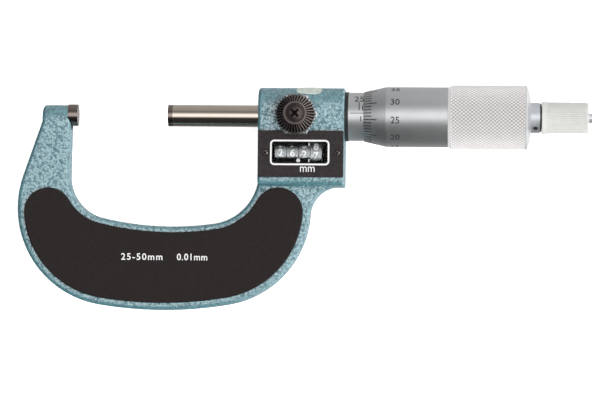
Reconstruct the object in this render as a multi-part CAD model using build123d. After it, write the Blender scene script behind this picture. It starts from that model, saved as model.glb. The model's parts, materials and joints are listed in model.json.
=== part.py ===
"""Outside micrometer, 25 to 50 mm, with a mechanical digit counter. All sizes in millimetres.

Origin: centre of the anvil's measuring face. +X runs along the measuring axis from the anvil
to the ratchet, +Y from the frame's bow to the spindle, +Z out of the counter's front.
Threads are plain cylinders with running clearance.
"""
from build123d import *
import math
import os

# Reading and travel
READING = 26.27              # gap between the measuring faces as modelled
RANGE_LOW, RANGE_HIGH = 25.0, 50.0
CLOSE_TRAVEL = READING - RANGE_LOW
OPEN_TRAVEL = RANGE_HIGH - READING

# Measuring pieces
MEASURING_R = 3.175          # anvil and spindle, 6.35 mm diameter
RUNNING = 0.03               # radial clearance of a running fit
ANVIL_HEAD = 2.8             # how far the anvil stands out of the frame
ANVIL_SHANK_R = 2.0
TIP_THICKNESS = 1.4          # carbide disc

# Frame bow
ARM_HALF = 4.25              # half thickness of the arms and bow
ARM_TOP = 2.9
ARM_LEFT, ARM_RIGHT = -10.1, -1.75   # at the tip
ARM_ROOT_RIGHT = -2.1                # inner side where the bow begins
SPOT_FACE_R = 4.4                    # flat that the anvil's head sits on
ARM_EDGE = 1.1               # rounding of the bow's edges
OUTER_LOBE_R = 28.45
OUTER_LEFT_C = (11.45, -26.9)
OUTER_RIGHT_C = (39.4, -26.65)
OUTER_BOW_R = 112.9
INNER_LEFT_R, INNER_LEFT_C = 12.45, (ARM_ROOT_RIGHT + 12.45, -17.7)
INNER_RIGHT_R, INNER_RIGHT_C = 14.9, (38.0, -16.6)
INNER_BOW_R = 85.0
WEB_FILLET = 8.5             # concave corner under the head block

# Head block
BLOCK_LEFT, BLOCK_RIGHT = 52.75, 77.6
BLOCK_BOTTOM, BLOCK_TOP = -20.35, 8.05
BLOCK_HALF = 8.0
BLOCK_SHOULDER = 5.4         # rounding of the long top edges
SHOULDER_C = (BLOCK_TOP - BLOCK_SHOULDER, BLOCK_HALF - BLOCK_SHOULDER)
SHOULDER_ANGLE = 28.0        # the small plate's normal, from +Y towards +Z
SMALL_PLATE_X, SMALL_PLATE_WIDTH, SMALL_PLATE_THICK = (63.6, 71.3), 4.4, 0.3
SMALL_PLATE_SINK = 0.55      # depth of its seat below the rounded shoulder

# Insulating plates on the bow
PLATE_PROUD = 0.85
PLATE_SEAT = 0.6
PLATE_OUTER_MARGIN, PLATE_INNER_MARGIN = 2.0, 1.7
PLATE_LEFT_END_R, PLATE_RIGHT_END_R = 7.0, 7.05

# Spindle drive
STEM_END = 79.5              # where the plain stem becomes the screw
SCREW_R = 3.5
SCREW_END = 126.0
TAPER_END = 130.9
TAPER_R = 2.9
KEYWAY_HALF, KEYWAY_FLOOR = 0.6, 2.4
KEY_X = (71.7, 73.4)
GUIDE_END = 59.4
GUIDE_R = 4.6
CHAMBER_START, CHAMBER_R = 71.3, 6.6
FLANGE_START = 73.8
INNER_SLEEVE_R = 5.9
NUT_START, NUT_END = 105.0, 120.0
NUT_R = 5.2
SLEEVE_START, SLEEVE_END, SLEEVE_R = 78.65, 108.5, 7.0

# Thimble
THIMBLE_EDGE = 83.1
THIMBLE_BORE = 7.08
THIMBLE_R = 8.67
KNURL_START, KNURL_END, KNURL_R = 107.2, 130.1, 9.3
THIMBLE_END = 131.2

# Ratchet stop
NECK_R, NECK_END = 4.38, 133.8
CAP_START, CAP_END = 134.3, 147.8
CAP_RIM_R, CAP_R = 4.75, 4.58
CAP_BORE, CAP_FLOOR = 3.6, 145.5
POST_R, POST_END = 2.0, 140.0
COLLAR_END, COLLAR_R = 134.2, 4.1   # fills the gap before the cap
RATCHET_TEETH = 12
SPANNER_HOLE_TURN = 48       # degrees, from +Z towards -Y
SCREW_SHANK_R, SCREW_HEAD_R = 1.15, 1.4

# Spindle lock
LOCK_X = 63.75
LOCK_HEX = 11.0              # across flats
LOCK_SHANK_R, LOCK_BORE_R = 4.0, 2.25
LOCK_HEX_TOP = 9.3
KNOB_BASE, KNOB_RIM, KNOB_TOP = 9.7, 12.5, 16.0
KNOB_RIM_R, KNOB_TOP_R, KNOB_RECESS_R = 6.05, 3.4, 2.7
STEM_LOW = 5.6
PLUNGER_TIP, PLUNGER_R = MEASURING_R + 0.008, 1.5    # locked: the tip is at the spindle
LOCK_FLOOR = 4.4             # depth of the bush's hole

# Digit counter
COUNTER_Y, COUNTER_Z = -11.0, 2.6
WHEEL_R, WHEEL_PITCH = 4.4, 3.4
WHEEL_X = [59.4 + WHEEL_PITCH * i for i in range(4)]     # tens, units, tenths, hundredths
WHEEL_NAMES = ["tens_wheel", "units_wheel", "tenths_wheel", "hundredths_wheel"]
PINION_NAMES = ["tens_transfer_pinion", "units_transfer_pinion", "tenths_transfer_pinion"]
RIM_HALF, RIM_INNER = 1.62, 4.0
WEB_HALF = 0.25
HUB_R, HUB_LEFT, HUB_RIGHT = 0.95, 1.7, 1.15
SHAFT_R = 0.5
POCKET_X = (56.4, 74.5)
POCKET_Y = (-16.9, -5.9)
POCKET_FLOOR = -5.1
BRACKET_X, BRACKET_Y, BRACKET_TOP = (56.8, 74.3), (-16.6, -6.8), 7.4
BRACKET_WALL = 0.6
BRACKET_SCREWS = [(59.6, -9.0), (69.0, -9.0)]
BRACKET_SCREW_R, BRACKET_SCREW_LOW = 0.6, -7.0
COVER_X, COVER_Y, COVER_Z = (52.9, 77.5), (-18.0, -4.6), (8.0, 9.0)
WINDOW_X, WINDOW_Y, WINDOW_CORNER = (56.9, 72.8), (-13.95, -7.85), 0.7
MASK_X, MASK_Y, MASK_Z = (56.6, 73.4), (-14.6, -7.2), (7.7, 8.0)
LOW_SLOT_X, LOW_SLOT_Y = (57.7, 67.9), (-12.55, -9.0)    # before the first three wheels
TALL_SLOT_X, TALL_SLOT_Y = (67.9, 71.5), (-13.5, -8.1)   # before the last wheel
COVER_SCREW_X, COVER_SCREW_Y = (55.1, 75.8), -11.0
COVER_SCREW_R, COVER_SCREW_LOW = 0.5, 4.5

# Gear train from the spindle to the hundredths wheel
TRAIN_MODULE = 0.3
DRIVE_TEETH, IDLER_TEETH, WHEEL_PINION_TEETH = 40, 20, 8
TRAIN_X = (71.6, 73.4)
DRIVE_X = (71.5, 73.6)

# Transfer of a carry from wheel to wheel, inside the rims
CARRY_MODULE, RING_TEETH, TRANSFER_TEETH = 0.36, 20, 6
RING_R = CARRY_MODULE * RING_TEETH / 2
TRANSFER_R = CARRY_MODULE * TRANSFER_TEETH / 2
RING_SPAN = (WEB_HALF, 1.1)          # these spans count from the slower wheel's middle
DRIVEN_SPAN, JOURNAL_SPAN, LUG_MATE_SPAN = (0.45, 1.15), (1.15, 1.65), (1.65, 2.5)
PLATE_SPAN, CARRIER_R = (1.25, 1.6), 3.6
JOURNAL_R, LUG_MATE_TIP = 0.6, 1.15
LUG_TURNS, LUG_LOW = (-9, 9), 3.72


# ---------------------------------------------------------------- helpers
def turned(*profile):
    """Solid of revolution about the measuring axis from its (x, radius) corners."""
    return revolve(make_face(Polyline(*profile, close=True)), Axis.X, 360)


def turned_z(x, *profile):
    """Solid of revolution about an axis along Z through (x, 0), from (radius, z) corners."""
    outline = Plane.XZ * make_face(Polyline(*profile, close=True))
    return Pos(x, 0, 0) * revolve(outline, Axis.Z, 360)


def rod(x_span, radius, y=0.0, z=0.0):
    """Cylinder along X over x_span."""
    x0, x1 = x_span
    return Pos((x0 + x1) / 2, y, z) * Rot(0, 90, 0) * Cylinder(radius, x1 - x0)


def tube(x_span, outer, inner, y=0.0, z=0.0):
    """Ring along X over x_span."""
    return rod(x_span, outer, y, z) - rod(x_span, inner, y, z)


def post(z_span, radius, x, y):
    """Cylinder along Z over z_span."""
    z0, z1 = z_span
    return Pos(x, y, (z0 + z1) / 2) * Cylinder(radius, z1 - z0)


def block(x_span, y_span, z_span):
    """Box between two corners."""
    spans = (x_span, y_span, z_span)
    middle = [(a + b) / 2 for a, b in spans]
    return Pos(*middle) * Box(*[b - a for a, b in spans])


def touch(centre, other, radius):
    """Point at radius from centre on the line from centre through other."""
    dx, dy = other[0] - centre[0], other[1] - centre[1]
    scale = radius / math.hypot(dx, dy)
    return centre[0] + dx * scale, centre[1] + dy * scale


def crossing(a, ra, b, rb, side):
    """Crossing of two circles, on the given side of the line from a to b."""
    dx, dy = b[0] - a[0], b[1] - a[1]
    gap = math.hypot(dx, dy)
    along = (gap * gap + ra * ra - rb * rb) / (2 * gap)
    off = side * math.sqrt(ra * ra - along * along)
    return a[0] + (along * dx - off * dy) / gap, a[1] + (along * dy + off * dx) / gap


def arc(centre, radius, start, end):
    """Arc of a circle from start to end along its shorter side."""
    bulge = ((start[0] + end[0]) / 2, (start[1] + end[1]) / 2)
    return ThreePointArc(start, touch(centre, bulge, radius), end)


# ---------------------------------------------------------------- frame
OUTER_BOW_C = crossing(OUTER_LEFT_C, OUTER_BOW_R - OUTER_LOBE_R,
                       OUTER_RIGHT_C, OUTER_BOW_R - OUTER_LOBE_R, 1)
INNER_BOW_C = crossing(INNER_LEFT_C, INNER_BOW_R - INNER_LEFT_R,
                       INNER_RIGHT_C, INNER_BOW_R - INNER_RIGHT_R, 1)


def lean_touch():
    """Where the arm's leaning outer side meets the left lobe."""
    knee = (ARM_LEFT, -2.0)
    cx, cy = OUTER_LEFT_C
    gap = math.hypot(cx - knee[0], cy - knee[1])
    heading = math.atan2(cy - knee[1], cx - knee[0]) - math.asin(OUTER_LOBE_R / gap)
    reach = math.sqrt(gap * gap - OUTER_LOBE_R ** 2)
    return knee, (knee[0] + reach * math.cos(heading), knee[1] + reach * math.sin(heading))


def bow_face():
    """Outline of the arms and bow, seen from the front."""
    knee, lean = lean_touch()
    low_left = touch(OUTER_BOW_C, OUTER_LEFT_C, OUTER_BOW_R)
    low_right = touch(OUTER_BOW_C, OUTER_RIGHT_C, OUTER_BOW_R)
    web_y = BLOCK_BOTTOM - WEB_FILLET
    reach = math.sqrt((OUTER_LOBE_R + WEB_FILLET) ** 2 - (web_y - OUTER_RIGHT_C[1]) ** 2)
    web_centre = (OUTER_RIGHT_C[0] + reach, web_y)
    web = touch(OUTER_RIGHT_C, web_centre, OUTER_LOBE_R)
    web_top = (web_centre[0], BLOCK_BOTTOM)
    in_left = touch(INNER_BOW_C, INNER_LEFT_C, INNER_BOW_R)
    in_right = touch(INNER_BOW_C, INNER_RIGHT_C, INNER_BOW_R)
    in_side_left = (ARM_ROOT_RIGHT, INNER_LEFT_C[1])
    in_side_right = (INNER_RIGHT_C[0] + INNER_RIGHT_R, INNER_RIGHT_C[1])
    edges = [
        Line((ARM_LEFT, ARM_TOP), knee),
        Line(knee, lean),
        arc(OUTER_LEFT_C, OUTER_LOBE_R, lean, low_left),
        arc(OUTER_BOW_C, OUTER_BOW_R, low_left, low_right),
        arc(OUTER_RIGHT_C, OUTER_LOBE_R, low_right, web),
        arc(web_centre, WEB_FILLET, web, web_top),
        Line(web_top, (web_top[0], in_side_right[1])),
        Line((web_top[0], in_side_right[1]), in_side_right),
        arc(INNER_RIGHT_C, INNER_RIGHT_R, in_side_right, in_right),
        arc(INNER_BOW_C, INNER_BOW_R, in_right, in_left),
        arc(INNER_LEFT_C, INNER_LEFT_R, in_left, in_side_left),
        Line(in_side_left, (ARM_RIGHT, ARM_TOP)),
        Line((ARM_RIGHT, ARM_TOP), (ARM_LEFT, ARM_TOP)),
    ]
    return make_face(edges)


def plate_face():
    """Outline of an insulating plate: the bow's outline drawn in, with round ends."""
    outer = OUTER_LOBE_R - PLATE_OUTER_MARGIN
    outer_bow = OUTER_BOW_R - PLATE_OUTER_MARGIN
    inner_left = INNER_LEFT_R + PLATE_INNER_MARGIN
    inner_right = INNER_RIGHT_R + PLATE_INNER_MARGIN
    inner_bow = INNER_BOW_R + PLATE_INNER_MARGIN
    left_end = crossing(OUTER_LEFT_C, outer - PLATE_LEFT_END_R,
                        INNER_LEFT_C, inner_left + PLATE_LEFT_END_R, 1)
    right_end = crossing(OUTER_RIGHT_C, outer - PLATE_RIGHT_END_R,
                         INNER_RIGHT_C, inner_right + PLATE_RIGHT_END_R, -1)
    corners = [
        touch(OUTER_LEFT_C, left_end, outer),
        touch(OUTER_BOW_C, OUTER_LEFT_C, outer_bow),
        touch(OUTER_BOW_C, OUTER_RIGHT_C, outer_bow),
        touch(OUTER_RIGHT_C, right_end, outer),
        touch(INNER_RIGHT_C, right_end, inner_right),
        touch(INNER_BOW_C, INNER_RIGHT_C, inner_bow),
        touch(INNER_BOW_C, INNER_LEFT_C, inner_bow),
        touch(INNER_LEFT_C, left_end, inner_left),
    ]
    left_top = (left_end[0], left_end[1] + PLATE_LEFT_END_R)
    right_top = (right_end[0], right_end[1] + PLATE_RIGHT_END_R)
    edges = [
        arc(OUTER_LEFT_C, outer, corners[0], corners[1]),
        arc(OUTER_BOW_C, outer_bow, corners[1], corners[2]),
        arc(OUTER_RIGHT_C, outer, corners[2], corners[3]),
        ThreePointArc(corners[3], right_top, corners[4]),
        arc(INNER_RIGHT_C, inner_right, corners[4], corners[5]),
        arc(INNER_BOW_C, inner_bow, corners[5], corners[6]),
        arc(INNER_LEFT_C, inner_left, corners[6], corners[7]),
        ThreePointArc(corners[7], left_top, corners[0]),
    ]
    return make_face(edges)


def bow():
    """Arms and bow, with a half-round arm tip and rounded edges."""
    body = extrude(bow_face(), ARM_HALF, both=True)
    tip_span = (ARM_LEFT - 1, ARM_RIGHT + 1)
    tip_y = ARM_TOP - ARM_HALF
    corner = block(tip_span, (tip_y, ARM_TOP + 1), (-ARM_HALF - 1, ARM_HALF + 1))
    body -= corner - rod(tip_span, ARM_HALF, tip_y)
    inside = BLOCK_BOTTOM + 0.5
    rims = [e for e in body.edges()
            if is_rim(e) and not (e.center().X > BLOCK_LEFT - 1 and e.center().Y > inside)]
    return fillet(rims, ARM_EDGE)


def is_rim(edge):
    """True for an edge of the bow's front or back outline, or of the half-round arm tip."""
    on_face = all(abs(abs(edge.position_at(t).Z) - ARM_HALF) < 1e-4 for t in (0.1, 0.5, 0.9))
    outline = on_face and edge.center().Y < ARM_TOP - ARM_HALF - 1e-3
    round_tip = edge.geom_type == GeomType.CIRCLE and edge.center().Y > ARM_TOP - ARM_HALF
    return outline or round_tip


def head_block():
    """Head block with rounded shoulders."""
    body = block((BLOCK_LEFT, BLOCK_RIGHT), (BLOCK_BOTTOM, BLOCK_TOP), (-BLOCK_HALF, BLOCK_HALF))
    long_edges = body.edges().filter_by(Axis.X)
    body = fillet(long_edges.filter_by_position(Axis.Y, BLOCK_TOP - 0.1, BLOCK_TOP + 0.1),
                  BLOCK_SHOULDER)
    low = body.edges().filter_by(Axis.X).filter_by_position(
        Axis.Y, BLOCK_BOTTOM - 0.1, BLOCK_BOTTOM + 0.1)
    body = fillet(low, 1.6)
    left = body.faces().sort_by(Axis.X)[0]
    body = fillet(left.edges(), 0.9)
    right = body.faces().sort_by(Axis.X)[-1]
    return fillet(right.edges(), 0.5)


def shoulder_slot(inner, outer):
    """Oblong prism on the block's front shoulder, between two distances from its centre."""
    middle = sum(SMALL_PLATE_X) / 2
    length = SMALL_PLATE_X[1] - SMALL_PLATE_X[0]
    turn = math.radians(SHOULDER_ANGLE)
    normal = (0, math.cos(turn), math.sin(turn))
    start = (middle, SHOULDER_C[0] + normal[1] * inner, SHOULDER_C[1] + normal[2] * inner)
    plane = Plane(origin=start, x_dir=(1, 0, 0), z_dir=normal)
    return extrude(plane * SlotOverall(length, SMALL_PLATE_WIDTH), outer - inner)


def frame():
    """Frame: bow and head block in one casting, bored for the pieces it holds."""
    body = bow() + head_block()
    seat_low = ARM_HALF - PLATE_SEAT
    seat = extrude(plate_face(), 3)
    body -= Pos(0, 0, seat_low) * seat
    body -= Pos(0, 0, -seat_low - 3) * seat
    body -= rod((ARM_LEFT + 1.2, ARM_RIGHT + 1), ANVIL_SHANK_R)
    body -= rod((-ANVIL_HEAD, ARM_RIGHT + 1), SPOT_FACE_R)
    body -= rod((BLOCK_LEFT - 1, GUIDE_END), GUIDE_R)
    body -= rod((GUIDE_END - 1, CHAMBER_START + 1), SCREW_R + 0.2)
    body -= rod((CHAMBER_START, BLOCK_RIGHT + 1), CHAMBER_R)
    body -= post((LOCK_FLOOR, BLOCK_HALF + 1), LOCK_SHANK_R, LOCK_X, 0)
    body -= post((2.0, 5.0), PLUNGER_R + 0.05, LOCK_X, 0)
    body -= block(POCKET_X, POCKET_Y, (POCKET_FLOOR, BLOCK_HALF + 1))
    for x in COVER_SCREW_X:
        body -= post((COVER_SCREW_LOW, BLOCK_HALF + 1), COVER_SCREW_R, x, COVER_SCREW_Y)
    for x, y in BRACKET_SCREWS:
        body -= post((BRACKET_SCREW_LOW, POCKET_FLOOR + 1), BRACKET_SCREW_R, x, y)
    body -= shoulder_slot(BLOCK_SHOULDER - SMALL_PLATE_SINK, BLOCK_SHOULDER + 1)
    return body


def insulating_plate(side):
    """Plastic plate on the bow's front (side 1) or back (side -1)."""
    low, high = ARM_HALF - PLATE_SEAT, ARM_HALF + PLATE_PROUD
    plate = Pos(0, 0, low) * extrude(plate_face(), high - low)
    plate = fillet(plate.faces().sort_by(Axis.Z)[-1].edges(), 0.35)
    return plate if side > 0 else mirror(plate, Plane.XY)


def small_plate():
    """Blank oblong plate on the block's shoulder."""
    low = BLOCK_SHOULDER - SMALL_PLATE_SINK
    return shoulder_slot(low, low + SMALL_PLATE_THICK)


# ---------------------------------------------------------------- measuring faces and sleeves
def anvil():
    head = rod((-ANVIL_HEAD, -TIP_THICKNESS), MEASURING_R)
    return head + rod((ARM_LEFT + 1.2, -ANVIL_HEAD), ANVIL_SHANK_R)


def anvil_tip():
    return rod((-TIP_THICKNESS, 0), MEASURING_R)


def guide_bush():
    return tube((BLOCK_LEFT, GUIDE_END), GUIDE_R, MEASURING_R + RUNNING)


def inner_sleeve():
    """Flanged tube that carries the sleeve and ends in the slit spindle nut."""
    body = turned((FLANGE_START, 3.3), (FLANGE_START, CHAMBER_R), (BLOCK_RIGHT, CHAMBER_R),
                  (BLOCK_RIGHT, INNER_SLEEVE_R), (NUT_START, INNER_SLEEVE_R),
                  (NUT_START, NUT_R), (NUT_END, NUT_R), (NUT_END, SCREW_R + RUNNING),
                  (NUT_START, SCREW_R + RUNNING), (NUT_START - 0.5, SCREW_R + 0.3),
                  (BLOCK_RIGHT, SCREW_R + 0.3), (BLOCK_RIGHT, 3.3))
    for turn in (0, 120, 240):
        slit = block((NUT_START + 3, NUT_END + 1), (1, NUT_R + 1), (-0.25, 0.25))
        body -= Rot(turn, 0, 0) * slit
    return body


def adjusting_nut():
    """Nut that closes the slit end of the inner sleeve on the spindle's screw."""
    body = tube((111, 117), 6.5, NUT_R)
    for turn in range(0, 360, 90):
        body -= Rot(turn, 0, 0) * block((115.5, 118), (5.8, 8), (-0.6, 0.6))
    return body


def sleeve_collar():
    return tube((BLOCK_RIGHT, SLEEVE_START), 7.15, INNER_SLEEVE_R)


def sleeve():
    """Graduated sleeve, pushed on the inner sleeve so that it can be turned to zero."""
    body = tube((SLEEVE_START, SLEEVE_END), SLEEVE_R, INNER_SLEEVE_R)
    return body + tube((NUT_START, SLEEVE_END), INNER_SLEEVE_R + 0.2, NUT_R)


# ---------------------------------------------------------------- spindle, thimble and ratchet
def spindle():
    """Ground stem, screw and thimble taper, with the keyway that drives the counter."""
    front = READING + TIP_THICKNESS
    body = turned((front, 0), (front, MEASURING_R), (STEM_END, MEASURING_R),
                  (STEM_END, SCREW_R - 0.2), (STEM_END + 0.4, SCREW_R), (SCREW_END, SCREW_R),
                  (SCREW_END, SCREW_R - 0.1), (TAPER_END, TAPER_R), (TAPER_END, 0))
    keyway = (KEY_X[0] - OPEN_TRAVEL - 0.5, KEY_X[1] + CLOSE_TRAVEL + 0.5)
    body -= block(keyway, (-KEYWAY_HALF, KEYWAY_HALF), (-MEASURING_R - 1, -KEYWAY_FLOOR))
    return body - rod((122, TAPER_END + 1), 1.5)


def spindle_tip():
    return rod((READING, READING + TIP_THICKNESS), MEASURING_R)


def thimble():
    """Thimble with its bevelled edge, knurled grip and taper-bored end wall."""
    outside = [(THIMBLE_EDGE, THIMBLE_BORE), (THIMBLE_EDGE, THIMBLE_BORE + 0.12),
               (89.4, THIMBLE_R), (KNURL_START, THIMBLE_R), (KNURL_START + 1.0, KNURL_R),
               (KNURL_END - 0.25, KNURL_R), (KNURL_END, KNURL_R - 0.35),
               (130.75, 7.3), (THIMBLE_END - 0.1, 5.2), (THIMBLE_END, NECK_R - 0.3)]
    slope = (SCREW_R - 0.1 - TAPER_R) / (TAPER_END - SCREW_END)
    wall_x = 128.6
    wall_r = TAPER_R + slope * (TAPER_END - wall_x)
    inside = [(THIMBLE_END, TAPER_R), (TAPER_END, TAPER_R), (wall_x, wall_r),
              (wall_x, THIMBLE_BORE)]
    return turned(*outside, *inside)


def ratchet_base():
    """Screw that holds the thimble on its taper and carries the ratchet."""
    body = rod((122.5, THIMBLE_END), 1.5) + rod((THIMBLE_END, NECK_END), NECK_R)
    body += rod((NECK_END, POST_END), POST_R)
    body -= rod((137, POST_END + 1), SCREW_SHANK_R)
    spanner_hole = Pos(132.5, 0, 3.7) * Cylinder(0.7, 3)
    return body - Rot(SPANNER_HOLE_TURN, 0, 0) * spanner_hole


def face_teeth(x, reach, inner, outer):
    """Ring of slanted teeth standing on the plane at x, reach long."""
    ring = None
    for i in range(RATCHET_TEETH):
        wedge = extrude(make_face(Polyline((x, -0.75), (x + reach, 0.75), (x, 0.75), close=True)),
                        outer - inner)
        tooth = Rot(360 / RATCHET_TEETH * i, 0, 0) * Pos(0, 0, inner) * wedge
        ring = tooth if ring is None else ring + tooth
    return ring


def ratchet_disc():
    """Toothed disc fixed on the post, its collar against the neck."""
    body = tube((NECK_END, COLLAR_END), COLLAR_R, POST_R) + tube((COLLAR_END, 135.6), 3.3, POST_R)
    return body + face_teeth(135.6, 0.35, POST_R + 0.3, 3.1)


def ratchet_wheel():
    """Toothed disc that turns with the cap."""
    body = tube((136.5, 137.5), CAP_BORE, POST_R + 0.06)
    return body + face_teeth(136.5, -0.4, POST_R + 0.3, 3.1)


def ratchet_spring():
    """Compression spring between the ratchet wheel and the cap's floor, ends ground flat."""
    wire, mean, turns = 0.3, 2.75, 5
    low, high = 137.5 + wire, CAP_FLOOR - wire
    path = Helix(pitch=(high - low) / turns, height=high - low, radius=mean)
    section = Plane(origin=path @ 0, z_dir=path % 0) * Circle(wire)
    coil = sweep(section, path=path, is_frenet=True)
    return Pos(low, 0, 0) * Rot(0, 90, 0) * coil


def ratchet_cap():
    """Plastic cap that is turned between two fingers."""
    return turned((CAP_START, CAP_BORE), (CAP_START, CAP_RIM_R), (CAP_START + 0.6, CAP_RIM_R),
                  (CAP_START + 0.9, CAP_R), (CAP_END - 0.4, CAP_R - 0.05),
                  (CAP_END, CAP_R - 0.35), (CAP_END, SCREW_SHANK_R + 0.05),
                  (CAP_FLOOR, SCREW_SHANK_R + 0.05), (CAP_FLOOR, CAP_BORE))


def ratchet_screw():
    """Screw through the cap into the post."""
    head_x = CAP_END + 0.05
    body = rod((137, head_x), SCREW_SHANK_R) + rod((head_x, 148.9), SCREW_HEAD_R)
    return body - block((148.5, 149.5), (-2, 2), (-0.2, 0.2))


# ---------------------------------------------------------------- spindle lock
def hexagon(across, z_span, x):
    """Hexagonal prism about Z with corners along X."""
    z0, z1 = z_span
    prism = extrude(RegularPolygon(across / 2, 6, major_radius=False), z1 - z0)
    return Pos(x, 0, z0) * prism


def lock_bush():
    """Hexagon-headed bush screwed into the block's front."""
    body = hexagon(LOCK_HEX, (BLOCK_HALF, LOCK_HEX_TOP), LOCK_X)
    body = chamfer(body.faces().sort_by(Axis.Z)[-1].edges(), 0.3)
    body += post((LOCK_FLOOR, BLOCK_HALF), LOCK_SHANK_R, LOCK_X, 0)
    return body - post((4, LOCK_HEX_TOP + 1), LOCK_BORE_R, LOCK_X, 0)


def lock_plunger():
    """Soft-faced plunger that the lock stem presses on the spindle."""
    top = STEM_LOW - 0.01
    return post((PLUNGER_TIP, top), PLUNGER_R, LOCK_X, 0) + post((4.9, top), 2.1, LOCK_X, 0)


def lock_stem():
    """Threaded stem, with a flatted end in the knob."""
    body = post((STEM_LOW, KNOB_BASE + 0.6), LOCK_BORE_R - RUNNING, LOCK_X, 0)
    upper = post((KNOB_BASE + 0.6, 14.2), 1.7, LOCK_X, 0)
    upper -= block((LOCK_X - 3, LOCK_X + 3), (1.2, 3), (KNOB_BASE + 0.6, 15))
    return body + upper - post((10.5, 15), 0.8, LOCK_X, 0)


def lock_knob():
    """Fluted lock knob; the flutes are plain here."""
    body = turned_z(LOCK_X, (0, KNOB_BASE), (5.0, KNOB_BASE), (KNOB_RIM_R, KNOB_BASE + 1.2),
                    (KNOB_RIM_R, KNOB_RIM), (KNOB_TOP_R, KNOB_TOP - 0.1),
                    (KNOB_RECESS_R, KNOB_TOP), (KNOB_RECESS_R, 14.4), (0, 14.4))
    body -= post((KNOB_BASE - 1, KNOB_BASE + 0.6), LOCK_BORE_R, LOCK_X, 0)
    shaft_hole = post((KNOB_BASE, 15), 1.7, LOCK_X, 0)
    shaft_hole -= block((LOCK_X - 3, LOCK_X + 3), (1.2, 3), (KNOB_BASE + 0.6, 16))
    return body - shaft_hole


def cross_recess(x, y, top, size, depth):
    """Cross-shaped tool recess below the plane z = top."""
    arm = block((x - size, x + size), (y - size * 0.2, y + size * 0.2), (top - depth, top + 1))
    other = block((x - size * 0.2, x + size * 0.2), (y - size, y + size), (top - depth, top + 1))
    return arm + other


def lock_knob_screw():
    """Pan-headed screw that holds the knob on its stem."""
    head = turned_z(LOCK_X, (0, 14.4), (2.2, 14.4), (2.2, 14.75), (1.7, 15.15), (0.9, 15.35),
                    (0, 15.4))
    slots = Pos(LOCK_X, 0, 0) * Rot(0, 0, 45) * cross_recess(0, 0, 15.4, 1.1, 0.6)
    return head + post((10.6, 14.4), 0.8, LOCK_X, 0) - slots


# ---------------------------------------------------------------- counter housing
def rounded_slab(x_span, y_span, z_span, radius):
    """Box with its four upright edges rounded."""
    slab = block(x_span, y_span, z_span)
    return fillet(slab.edges().filter_by(Axis.Z), radius)


def counter_cover():
    """Black plate over the counter, with its window opening and screw holes."""
    body = rounded_slab(COVER_X, COVER_Y, COVER_Z, 0.4)
    body = chamfer(body.faces().sort_by(Axis.Z)[-1].edges(), 0.15)
    body -= rounded_slab(WINDOW_X, WINDOW_Y, (7, 10), WINDOW_CORNER)
    body -= hexagon(LOCK_HEX + 0.3, (7, 10), LOCK_X)
    for x in COVER_SCREW_X:
        body -= post((7, 10), COVER_SCREW_R, x, COVER_SCREW_Y)
        body -= post((8.45, 10), 0.95, x, COVER_SCREW_Y)
    return body


def counter_window():
    """Clear window, flush with the cover."""
    return rounded_slab(WINDOW_X, WINDOW_Y, COVER_Z, WINDOW_CORNER)


def counter_mask():
    """Black mask under the window: a low slot for three wheels, a tall one for the last."""
    body = rounded_slab(MASK_X, MASK_Y, MASK_Z, 0.5)
    body -= block(LOW_SLOT_X, LOW_SLOT_Y, (7, 9))
    return body - block(TALL_SLOT_X, TALL_SLOT_Y, (7, 9))


def cover_screws():
    """The two screws of the cover, as separate solids."""
    screws = []
    for x in COVER_SCREW_X:
        body = post((COVER_SCREW_LOW, 8.45), COVER_SCREW_R, x, COVER_SCREW_Y)
        head = Pos(x, COVER_SCREW_Y, 8.45) * extrude(Circle(0.85), 0.5)
        head = chamfer(head.faces().sort_by(Axis.Z)[-1].edges(), 0.15)
        screws.append(body + head - cross_recess(x, COVER_SCREW_Y, 8.95, 0.5, 0.3))
    return Compound(children=screws)


def counter_bracket():
    """Folded sheet bracket that holds the counter's shaft and the idler's stud."""
    wall = BRACKET_WALL
    body = block(BRACKET_X, BRACKET_Y, (POCKET_FLOOR, POCKET_FLOOR + wall))
    for x in (BRACKET_X[0], BRACKET_X[1] - wall):
        cheek = block((x, x + wall), BRACKET_Y, (POCKET_FLOOR, BRACKET_TOP))
        upright = cheek.edges().filter_by(Axis.X).filter_by_position(
            Axis.Z, BRACKET_TOP - 0.1, BRACKET_TOP + 0.1)
        body += fillet(upright, 2.0)
    body -= rod(BRACKET_X, SHAFT_R, COUNTER_Y, COUNTER_Z)
    body -= rod((BRACKET_X[1] - wall, BRACKET_X[1]), SHAFT_R, *IDLER_C)
    for x, y in BRACKET_SCREWS:
        body -= post((POCKET_FLOOR - 1, POCKET_FLOOR + 2), BRACKET_SCREW_R, x, y)
    return body


def bracket_screws():
    """The two screws that hold the bracket, as separate solids."""
    screws = []
    floor = POCKET_FLOOR + BRACKET_WALL
    for x, y in BRACKET_SCREWS:
        body = post((BRACKET_SCREW_LOW, floor), BRACKET_SCREW_R, x, y)
        body += post((floor, floor + 0.8), 1.2, x, y)
        screws.append(body - cross_recess(x, y, floor + 0.8, 0.7, 0.4))
    return Compound(children=screws)


# ---------------------------------------------------------------- counter train
DRIVE_R = TRAIN_MODULE * DRIVE_TEETH / 2
IDLER_R = TRAIN_MODULE * IDLER_TEETH / 2
WHEEL_PINION_R = TRAIN_MODULE * WHEEL_PINION_TEETH / 2
IDLER_C = crossing((0, 0), DRIVE_R + IDLER_R,
                   (COUNTER_Y, COUNTER_Z), IDLER_R + WHEEL_PINION_R, 1)


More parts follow.
